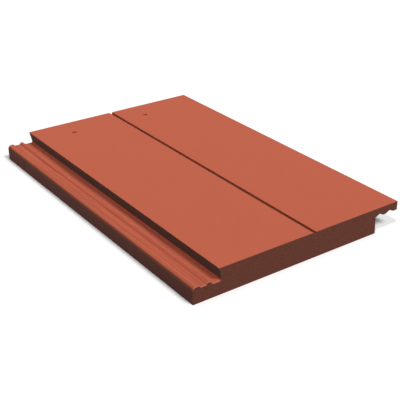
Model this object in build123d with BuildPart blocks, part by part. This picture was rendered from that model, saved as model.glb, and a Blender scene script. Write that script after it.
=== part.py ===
from build123d import *
import os

# Interlocking flat concrete roof tile with a dummy joint down the middle of its face.
# Millimetres. X runs across the roof, Y up the slope from the tail to the head, and Z up.
# The origin is under the middle of the tile's bounding box, on the plane that it lies on.

# Overall
tile_length = 420.0
tile_depth = 30.5
face_width = 246.5  # from the riser's top edge to the over-lock's outer edge
arris_radius = 0.4  # softened edges of the face

# Under-lock: the ribbed ledge on the left, which the next tile covers
lock_width = 31.0
lock_rib_top = 19.1
lock_corner_rounding = 4.5  # from the ledge's outer side over to the outer rib
edge_rib_width = 7.1  # from the ledge's outer side
middle_rib_inset = 19.1  # middle of the second rib's crest, from the same side
middle_rib_crest = 2.8
middle_rib_flank = 1.8  # its outer flank, and the inner flanks of both ribs fall at 45 degrees
outer_channel_floor = 16.8
inner_channel_floor = 15.4
riser_undercut = 3.6
lock_rounding = 1.8

# Over-lock: the lip on the right, which covers the next tile's ledge
rib_clearance = 0.8  # in height, from the ledge's ribs up to the lip's own ribs
rib_play = 0.3  # the lip's channels stand this far to the right of the middles of those ribs
ledge_clearance = 1.1  # sideways, between the next tile's ledge and the body's wall
lip_channel_depth = 2.5
lip_channel_flat = 1.8
lip_rib_crest = 4.5
edge_lip_rib_crest = 6.5
wall_lean = 1.0  # the body's wall stands out this much further at its foot
lip_rounding = 0.8

# Dummy joint in the middle of the face: a bevel that falls to a steep wall on its right
joint_width = 4.8
joint_depth = 3.2
joint_wall_lean = 0.3

# Nail holes at the head
nail_hole_radius = 3.0
nail_hole_spacing = 110.0
first_nail_hole_position = 48.0  # from the face's left edge
nail_hole_from_head = 35.0

# Underside: two pockets between the bands that the tile bears on
panel_thickness = 12.5
ledge_band_width = 44.0  # from the ledge's outer side
wall_band_width = 18.0  # from the foot of the body's wall
joint_band_width = 16.0  # under the dummy joint
head_band_width = 62.0
pocket_corner_radius = 14.0
pocket_draft = 10.0
pocket_roof_rounding = 5.0

# Weather checks: shallow slots across the underside, behind the tail
tail_nose_width = 14.0
check_width = 9.0
check_depth = 6.0
check_spacing = 17.0
check_count = 2
check_draft = 12.0

# Places that follow from the sizes
head = tile_length / 2
tail = -tile_length / 2
ledge_side = -(lock_width + face_width) / 2
face_left = ledge_side + lock_width
face_right = face_left + face_width
next_ledge_side = face_right - lock_width
wall_foot = next_ledge_side - ledge_clearance
joint_middle = face_left + face_width / 2
joint_left = joint_middle - joint_width / 2
joint_right = joint_middle + joint_width / 2


def ledge_outline():
    """Corners of the ledge and the riser, from the ledge's outer foot, as x, z and rounding."""
    edge_crest_right = ledge_side + edge_rib_width
    middle_crest_left = ledge_side + middle_rib_inset - middle_rib_crest / 2
    middle_crest_right = middle_crest_left + middle_rib_crest
    outer_channel_left = edge_crest_right + lock_rib_top - outer_channel_floor
    inner_channel_left = middle_crest_right + lock_rib_top - inner_channel_floor
    return [
        (ledge_side, 0, 0),
        (ledge_side, lock_rib_top, lock_corner_rounding),
        (edge_crest_right, lock_rib_top, lock_rounding),
        (outer_channel_left, outer_channel_floor, lock_rounding),
        (middle_crest_left - middle_rib_flank, outer_channel_floor, lock_rounding),
        (middle_crest_left, lock_rib_top, lock_rounding),
        (middle_crest_right, lock_rib_top, lock_rounding),
        (inner_channel_left, inner_channel_floor, lock_rounding),
        (face_left + riser_undercut, inner_channel_floor, lock_rounding),
        (face_left, tile_depth, arris_radius),
    ]


def joint_outline():
    """Corners of the dummy joint, from left to right, as x, z and rounding."""
    return [
        (joint_left, tile_depth, arris_radius),
        (joint_right - joint_wall_lean, tile_depth - joint_depth, arris_radius),
        (joint_right, tile_depth, arris_radius),
    ]


def lip_outline():
    """Corners of the lip, round its edge and in to the wall's foot, as x, z and rounding."""
    rib_level = lock_rib_top + rib_clearance
    channel_level = rib_level + lip_channel_depth
    outer_channel = next_ledge_side + middle_rib_inset + rib_play
    inner_channel = next_ledge_side + edge_rib_width / 2 + rib_play
    rib_middle = (outer_channel + inner_channel) / 2
    return [
        (face_right, tile_depth, arris_radius),
        (face_right, rib_level, lip_rounding),
        (face_right - edge_lip_rib_crest, rib_level, lip_rounding),
        (outer_channel + lip_channel_flat / 2, channel_level, lip_rounding),
        (outer_channel - lip_channel_flat / 2, channel_level, lip_rounding),
        (rib_middle + lip_rib_crest / 2, rib_level, lip_rounding),
        (rib_middle - lip_rib_crest / 2, rib_level, lip_rounding),
        (inner_channel + lip_channel_flat / 2, channel_level, lip_rounding),
        (inner_channel - lip_channel_flat / 2, channel_level, lip_rounding),
        (wall_foot - wall_lean, rib_level, lip_rounding),
        (wall_foot, 0, 0),
    ]


corners = ledge_outline() + joint_outline() + lip_outline()

# Underside layout
pockets_left = ledge_side + ledge_band_width
pockets_right = wall_foot - wall_band_width
left_pocket_width = joint_middle - joint_band_width / 2 - pockets_left
right_pocket_width = pockets_right - joint_middle - joint_band_width / 2
checks_start = tail + tail_nose_width
checks_run = (check_count - 1) * check_spacing + check_width
pockets_start = checks_start + check_count * check_spacing
pocket_length = head - head_band_width - pockets_start
pocket_middle = pockets_start + pocket_length / 2
pocket_depth = tile_depth - panel_thickness
checks_middle = (pockets_left + pockets_right) / 2
checks_width = pockets_right - pockets_left

with BuildPart() as tile:
    # One section along the whole length
    with BuildSketch(Plane.XZ):
        with BuildLine():
            FilletPolyline(
                *[(x, z) for x, z, rounding in corners],
                radius=[rounding for x, z, rounding in corners],
                close=True,
            )
        make_face()
    extrude(amount=tile_length / 2, both=True)

    # Softened edges at the tail and the head of both halves of the face
    face_halves = tile.faces().filter_by(Plane.XY).group_by(Axis.Z)[-1]
    fillet(face_halves.edges().filter_by(Axis.X), arris_radius)

    # Pockets pressed up into the underside, one each side of the dummy joint
    with BuildSketch(Plane.XY):
        with Locations((pockets_left + left_pocket_width / 2, pocket_middle)):
            RectangleRounded(left_pocket_width, pocket_length, pocket_corner_radius)
        with Locations((pockets_right - right_pocket_width / 2, pocket_middle)):
            RectangleRounded(right_pocket_width, pocket_length, pocket_corner_radius)
    extrude(amount=pocket_depth, taper=pocket_draft, mode=Mode.SUBTRACT)
    pocket_roofs = tile.faces(Select.LAST).group_by(Axis.Z)[-1]
    fillet(pocket_roofs.edges(), pocket_roof_rounding)

    # Weather checks across the tail
    with BuildSketch(Plane.XY):
        with Locations((checks_middle, checks_start + checks_run / 2)):
            with GridLocations(0, check_spacing, 1, check_count):
                SlotOverall(checks_width, check_width)
    extrude(amount=check_depth, taper=check_draft, mode=Mode.SUBTRACT)

    # Nail holes through the head band
    with Locations((face_left + first_nail_hole_position, head - nail_hole_from_head, tile_depth)):
        with Locations((0, 0), (nail_hole_spacing, 0)):
            Hole(nail_hole_radius)

tile.part.label = "roof_tile"

os.makedirs("parts", exist_ok=True)
export_step(tile.part, "parts/roof_tile.step")
print(tile.part.volume, tile.part.bounding_box())
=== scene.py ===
import functools
import math

import bpy
from mathutils import Euler, Matrix, Vector


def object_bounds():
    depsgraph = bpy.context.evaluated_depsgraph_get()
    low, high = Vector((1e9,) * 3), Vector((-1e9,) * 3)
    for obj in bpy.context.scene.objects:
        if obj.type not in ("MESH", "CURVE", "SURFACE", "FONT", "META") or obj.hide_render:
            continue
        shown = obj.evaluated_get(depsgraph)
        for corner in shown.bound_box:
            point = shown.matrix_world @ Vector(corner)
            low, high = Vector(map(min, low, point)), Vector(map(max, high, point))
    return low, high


# Flat interlocking roof tile of terracotta coloured concrete, face up on a plain white floor.
# Metres, in the part's own frame: X across the roof, Y up the slope and Z up.

MM = 0.001

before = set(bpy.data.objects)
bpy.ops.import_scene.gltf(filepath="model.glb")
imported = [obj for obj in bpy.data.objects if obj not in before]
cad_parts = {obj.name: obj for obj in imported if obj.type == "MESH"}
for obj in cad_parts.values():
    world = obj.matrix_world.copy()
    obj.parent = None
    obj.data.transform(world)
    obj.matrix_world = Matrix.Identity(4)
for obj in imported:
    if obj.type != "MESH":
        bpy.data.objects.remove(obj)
cad_low, cad_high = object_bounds()
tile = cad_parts["roof_tile"]

# Places on the tile, from its box and the widths in the part's source
LEDGE_WIDTH = 31.0 * MM
JOINT_WIDTH = 4.8 * MM
ledge_side = cad_low[0]
face_left = ledge_side + LEDGE_WIDTH
rib_foot_line = ledge_side + 9.7 * MM  # a dark line of painted shade lies in the crease at the foot of the outer rib
joint_middle = (face_left + cad_high[0]) / 2
head = cad_high[1]

# The photograph's view in degrees and millimetres, solved from the edges of the tile
VIEW_AZIMUTH = -35.401
VIEW_ELEVATION = 26.935
LENS_MM = 77.93
SENSOR_MM = 36.0
CAMERA_PLACE = Vector((-535.74, -780.23, 466.49)) * MM

# The light on the floor, where the two suns and the room add up to a plain level of 1
LEFT_SUN_LIGHT = 0.29
RIGHT_SUN_LIGHT = 0.66
ROOM_LIGHT = 0.05

# The floor: paint that takes the shadows, and a glow that makes it white away from the tile and fades
# beside it into a painted soft shadow
FLOOR_REACH = 12.0
FLOOR_PAINT = "#F1F1F1"
FLOOR_GLOW = 0.18
GLOW_FADE = 12 * MM  # how near to the tile the glow begins to fade into the painted shadow
OPEN_BESIDE_WALL = 0.5  # how open a point at the foot of a wall is, where the glow has gone
BOUNCE_GREY = "#3F3F3F"  # the floor's colour to light that bounces, so that little comes back up

# Sizes of the concrete's patterns
CLOUD_SIZE = 45 * MM  # broad, faint changes in the coat's tone
SAND_SIZE = 1.1 * MM  # the fine sand under the coat
COARSE_SAND_SIZE = 3.2 * MM  # really up to 2 mm, and drawn coarser so that it shows
DRAG_LINE_WIDTH = 1.7 * MM  # really about 1 mm, and drawn coarser so that they show
DRAG_LINE_STRETCH = 90  # how many times as long as wide
PIT_SPACING = 5 * MM  # small air holes, each about 1 mm across

# Sockets of a colour Mix node: how far the upper colour is there, the lower and the upper one
SHARE, UNDER, OVER = 0, 6, 7


def linear(hex_colour):
    """An sRGB hex colour as linear red, green, blue and alpha, by the sRGB standard's formula."""
    channels = [int(hex_colour[start:start + 2], 16) / 255 for start in (1, 3, 5)]
    return [c / 12.92 if c <= 0.04045 else ((c + 0.055) / 1.055) ** 2.4 for c in channels] + [1.0]


def add_node(tree, kind, inputs=None, **settings):
    """Adds one node with its settings and links.

    An input is a value, an output socket, or a node, which feeds it from its first output in use.
    """
    node = tree.nodes.new("ShaderNode" + kind)
    for name, value in settings.items():
        setattr(node, name, value)
    for socket, value in (inputs or {}).items():
        if isinstance(value, bpy.types.Node):
            value = next(output for output in value.outputs if output.enabled)
        if isinstance(value, bpy.types.NodeSocket):
            tree.links.new(value, node.inputs[socket])
        else:
            node.inputs[socket].default_value = value
    return node


def empty_tree(owner):
    """Clears the nodes of a material or world, and returns the function that adds new ones to it."""
    owner.use_nodes = True
    owner.node_tree.nodes.clear()
    return functools.partial(add_node, owner.node_tree)


def seen_or_bounced(node, seen, bounced):
    """One shader for what camera, glossy and transmission rays see, and one for light that bounces."""
    path = node("LightPath")
    looked_at = path.outputs["Is Camera Ray"]
    for ray in ("Is Glossy Ray", "Is Transmission Ray"):
        looked_at = node("Math", {0: looked_at, 1: path.outputs[ray]}, operation="MAXIMUM")
    return node("MixShader", {0: looked_at, 1: bounced, 2: seen})


def make_camera():
    """The camera stands where the photograph was taken, before the tail and left of it, and looks down."""
    data = bpy.data.cameras.new("camera")
    data.lens = LENS_MM
    data.sensor_width = SENSOR_MM
    camera = bpy.data.objects.new("camera", data)
    turn = Euler((math.radians(90 - VIEW_ELEVATION), 0, math.radians(VIEW_AZIMUTH)))
    camera.matrix_world = Matrix.LocRotScale(CAMERA_PLACE, turn, None)
    bpy.context.scene.collection.objects.link(camera)
    bpy.context.scene.camera = camera


def make_floor():
    """A pale floor that looks white, keeps the tile's shadow, darkens beside it with a painted soft
    shadow, and throws little light back up.
    """
    mesh = bpy.data.meshes.new("floor")
    corners = [(x * FLOOR_REACH, y * FLOOR_REACH, 0) for x, y in ((-1, -1), (1, -1), (1, 1), (-1, 1))]
    mesh.from_pydata(corners, [], [(0, 1, 2, 3)])
    floor = bpy.data.objects.new("floor", mesh)
    bpy.context.scene.collection.objects.link(floor)
    material = bpy.data.materials.new("white_floor")
    node = empty_tree(material)
    paint = node("BsdfDiffuse", {"Color": linear(FLOOR_PAINT)})
    # The glow fades by ambient occlusion towards the tile, which paints a soft shadow beside its foot
    opening = node("AmbientOcclusion", {"Distance": GLOW_FADE}, samples=8).outputs["AO"]
    strength = node("MapRange", {"Value": opening, "From Min": OPEN_BESIDE_WALL, "To Max": FLOOR_GLOW})
    glow = node("Emission", {"Color": linear("#FFFFFF"), "Strength": strength})
    white = node("AddShader", {0: paint, 1: glow})
    dull = node("BsdfDiffuse", {"Color": linear(BOUNCE_GREY)})
    node("OutputMaterial", {"Surface": seen_or_bounced(node, white, dull)})
    mesh.materials.append(material)


def add_sun(name, toward, light, width):
    """A sun: the way to it for a height of 1, its light on a level floor, and its width in degrees.

    A surface that faces a sun of energy pi renders as it is written. The floor lies at a slant to it, so
    the energy rises by the length of the way, which is one over the cosine of that slant.
    """
    toward = Vector(toward)
    data = bpy.data.lights.new(name, "SUN")
    data.energy = math.pi * light * toward.length
    data.angle = math.radians(width)
    lamp = bpy.data.objects.new(name, data)
    lamp.rotation_euler = toward.to_track_quat("Z", "Y").to_euler()
    bpy.context.scene.collection.objects.link(lamp)


def make_light():
    """Two soft studio suns, both a little to the front, and an even light from a white room."""
    add_sun("left_sun", toward=(-0.36, -0.26, 1.0), light=LEFT_SUN_LIGHT, width=5.0)
    add_sun("right_sun", toward=(0.17, -0.72, 1.0), light=RIGHT_SUN_LIGHT, width=20.0)
    room = bpy.data.worlds.new("room")
    bpy.context.scene.world = room
    node = empty_tree(room)
    white = node("Background", {"Color": linear("#FFFFFF"), "Strength": 1.0})
    dim = node("Background", {"Color": linear("#FFFFFF"), "Strength": ROOM_LIGHT})
    node("OutputWorld", {"Surface": seen_or_bounced(node, white, dim)})


def find_place(node):
    """Begins a list of the values at a point of the surface: where it lies and which way it faces."""
    coordinates = node("TexCoord")
    place = coordinates.outputs["Object"]
    axes = node("SeparateXYZ", {0: place})
    facing = node("SeparateXYZ", {0: coordinates.outputs["Normal"]})
    here = {
        "place": place,
        "across": axes.outputs["X"],
        "height": axes.outputs["Z"],
        "upward": facing.outputs["Z"],
        "off middle": node("Math", {0: axes.outputs["Y"]}, operation="ABSOLUTE"),
    }
    for name, line in (("off joint", joint_middle), ("off rib foot", rib_foot_line)):
        aside = node("Math", {0: here["across"], 1: line}, operation="SUBTRACT")
        here[name] = node("Math", {0: aside}, operation="ABSOLUTE")
    return here


def add_patterns(node, here):
    """Adds the patterns of the concrete and its coat, each at its own size."""
    for name, size in (("cloud", CLOUD_SIZE), ("sand", SAND_SIZE), ("coarse sand", COARSE_SAND_SIZE)):
        here[name] = node("TexNoise", {"Vector": here["place"], "Scale": 1 / size, "Detail": 3.0})
    drawn_out = node("VectorMath", {0: here["place"], 1: (1, DRAG_LINE_STRETCH, 1)}, operation="DIVIDE")
    here["streaks"] = node("TexNoise", {"Vector": drawn_out, "Scale": 1 / DRAG_LINE_WIDTH, "Detail": 4.0})
    here["cells"] = node("TexVoronoi", {"Vector": here["place"], "Scale": 1 / PIT_SPACING})


def add_finishes(node, here):
    """Adds how far each finish or mark is there, from 0 to 1.

    A row of the first table rises from nothing at its first number to its last number at its second.
    A row of the second table joins two values by their least, their greatest or their product.
    """
    for name, value, first, last, most in (
        # By the way the surface faces: 1 is straight up, 0 is sideways and -1 is straight down
        ("faces up", "upward", -0.05, 0.0, 1.0),
        ("thin coat and shade", "upward", 0.1, 0.4, 1.0),
        # faces that turn down get a coating of oil and dust that is also painted shade
        ("film and shade", "upward", -0.05, -0.15, 1.0),
        # By its place on the tile
        ("sprayed", "height", 10 * MM, 15 * MM, 1.0),  # the coat runs no deeper down the nail holes
        ("off outer side", "across", ledge_side + 0.9 * MM, ledge_side + 1.8 * MM, 1.0),
        ("ledge", "across", face_left, face_left - 1 * MM, 1.0),
        # painted shade in the crease at the foot of the outer rib
        ("rib foot", "off rib foot", 0.9 * MM, 0.3 * MM, 0.5),
        ("joint", "off joint", JOINT_WIDTH / 2, JOINT_WIDTH / 2 - 0.2 * MM, 1.0),
        ("cut end", "off middle", head - 0.3 * MM, head - 0.1 * MM, 1.0),
        # a pale line near both ends of the ledge, a painted highlight where the end edges catch light
        ("end highlight", "off middle", head - 2 * MM, head - 1 * MM, 0.45),
        # By a pattern
        ("drag line", "streaks", 0.5, 0.6, 0.6),
        ("pit", "cells", 0.16, 0.08, 0.5),
        ("pale sand", "sand", 0.55, 0.75, 0.12),
    ):
        rise = {"Value": here[value], "From Min": first, "From Max": last, "To Max": most}
        here[name] = node("MapRange", rise)
    for name, one, other, operation in (
        ("coated", "faces up", "sprayed", "MINIMUM"),
        ("coated", "coated", "off outer side", "MINIMUM"),
        ("rough", "film and shade", "cut end", "MAXIMUM"),
        ("dragged and shaded", "drag line", "rib foot", "MAXIMUM"),
        ("dragged and shaded", "dragged and shaded", "ledge", "MULTIPLY"),
        ("highlight", "end highlight", "ledge", "MULTIPLY"),
        ("shaded pits", "pit", "rough", "MULTIPLY"),
        ("rough sand", "coarse sand", "rough", "MULTIPLY"),
    ):
        here[name] = node("Math", {0: here[one], 1: here[other]}, operation=operation)


def finish_colour(node, here):
    """The colours of the finishes and of the painted shade and highlight, each laid over the ones before
    it as far as it is there.
    """
    tones = {}
    for finish, pattern, darker, lighter in (
        ("coat", "cloud", "#B85B42", "#BC5E45"),
        # the uncoated concrete under the coat, partly its own greyer colour and partly painted shade on
        # the outer side and low faces
        ("body", "coarse sand", "#784940", "#885349"),
        # grey-brown coating, partly release oil and dust, partly painted shade on the riser and underside
        ("film and shade", "coarse sand", "#554C44", "#6A6058"),
        # the cut ends' uncoated concrete, painted darker than it is, as shade
        ("bare and shaded", "coarse sand", "#653628", "#713D2D"),
    ):
        between = {SHARE: here[pattern], UNDER: linear(darker), OVER: linear(lighter)}
        tones[finish] = node("Mix", between, data_type="RGBA")
    # drag lines, with the painted shade at the rib foot, a darker red over the coat
    lined = {SHARE: here["dragged and shaded"], UNDER: tones["coat"], OVER: linear("#984834")}
    # beneath everything lies the uncoated concrete with its painted shade
    colour = tones["body"]
    for name, over in (
        # a thinner, darker coat on the ledge's outer rounding, partly painted shade
        ("thin coat and shade", linear("#80442E")),
        ("coated", node("Mix", lined, data_type="RGBA")),
        # painted highlight near the ledge's ends
        ("highlight", linear("#C48475")),
        # the joint groove painted darker, as shade in it
        ("joint", linear("#8B4B36")),
        ("film and shade", tones["film and shade"]),
        # the cut ends: uncoated, and painted dark as shade
        ("cut end", tones["bare and shaded"]),
        # the pits painted near black, as the shade in them
        ("shaded pits", linear("#2E1C15")),
        ("pale sand", linear("#D98E76")),
    ):
        colour = node("Mix", {SHARE: here[name], UNDER: colour, OVER: over}, data_type="RGBA")
    return colour


def finish_relief(node, here):
    """The relief as a bump: heights in millimetres, all of them finer than the solid shows."""
    relief = 0.0
    for name, height in (("sand", 0.1), ("rough sand", 0.3), ("dragged and shaded", -0.1), ("shaded pits", -0.7)):
        relief = node("Math", {0: here[name], 1: height, 2: relief}, operation="MULTIPLY_ADD")
    return node("Bump", {"Height": relief, "Distance": MM})


def pressed_terracotta_concrete():
    """Pressed roof tile concrete with a sprayed terracotta coat.

    The coat is matt and even, with faint clouding and the grain of the fine sand under it. Along the
    ledge it has the drag lines of the press slipper, and a dark line of painted shade in the crease at
    the foot of the outer rib. Near both ends of the ledge a pale line is a painted highlight. The joint
    groove is painted darker, as shade. Over the ledge's outer rounding the coat thins to a dull ochre,
    darker also as painted shade. The coat doesn't reach the outer side or the lower part of the nail
    holes, which show the greyer concrete beneath, painted darker as shade. The cut ends are uncoated and
    brown, painted darker as shade. The faces that turn down, the underside and the undercut riser, keep
    a grey-brown coating of release oil and dust, which is also painted shade. That coating and the cut
    ends have a coarser grain and small pits, painted near black as the shade in them.
    """
    material = bpy.data.materials.new("pressed_terracotta_concrete")
    node = empty_tree(material)
    here = find_place(node)
    add_patterns(node, here)
    add_finishes(node, here)
    shader = node("BsdfPrincipled", {
        "Base Color": finish_colour(node, here),
        "Roughness": 0.85,
        "IOR": 1.5,
        "Specular IOR Level": 0.3,
        "Normal": finish_relief(node, here),
    })
    node("OutputMaterial", {"Surface": shader})
    return material


make_camera()
make_floor()
make_light()
tile.data.materials.clear()
tile.data.materials.append(pressed_terracotta_concrete())

bpy.context.scene.view_settings.view_transform = "Standard"
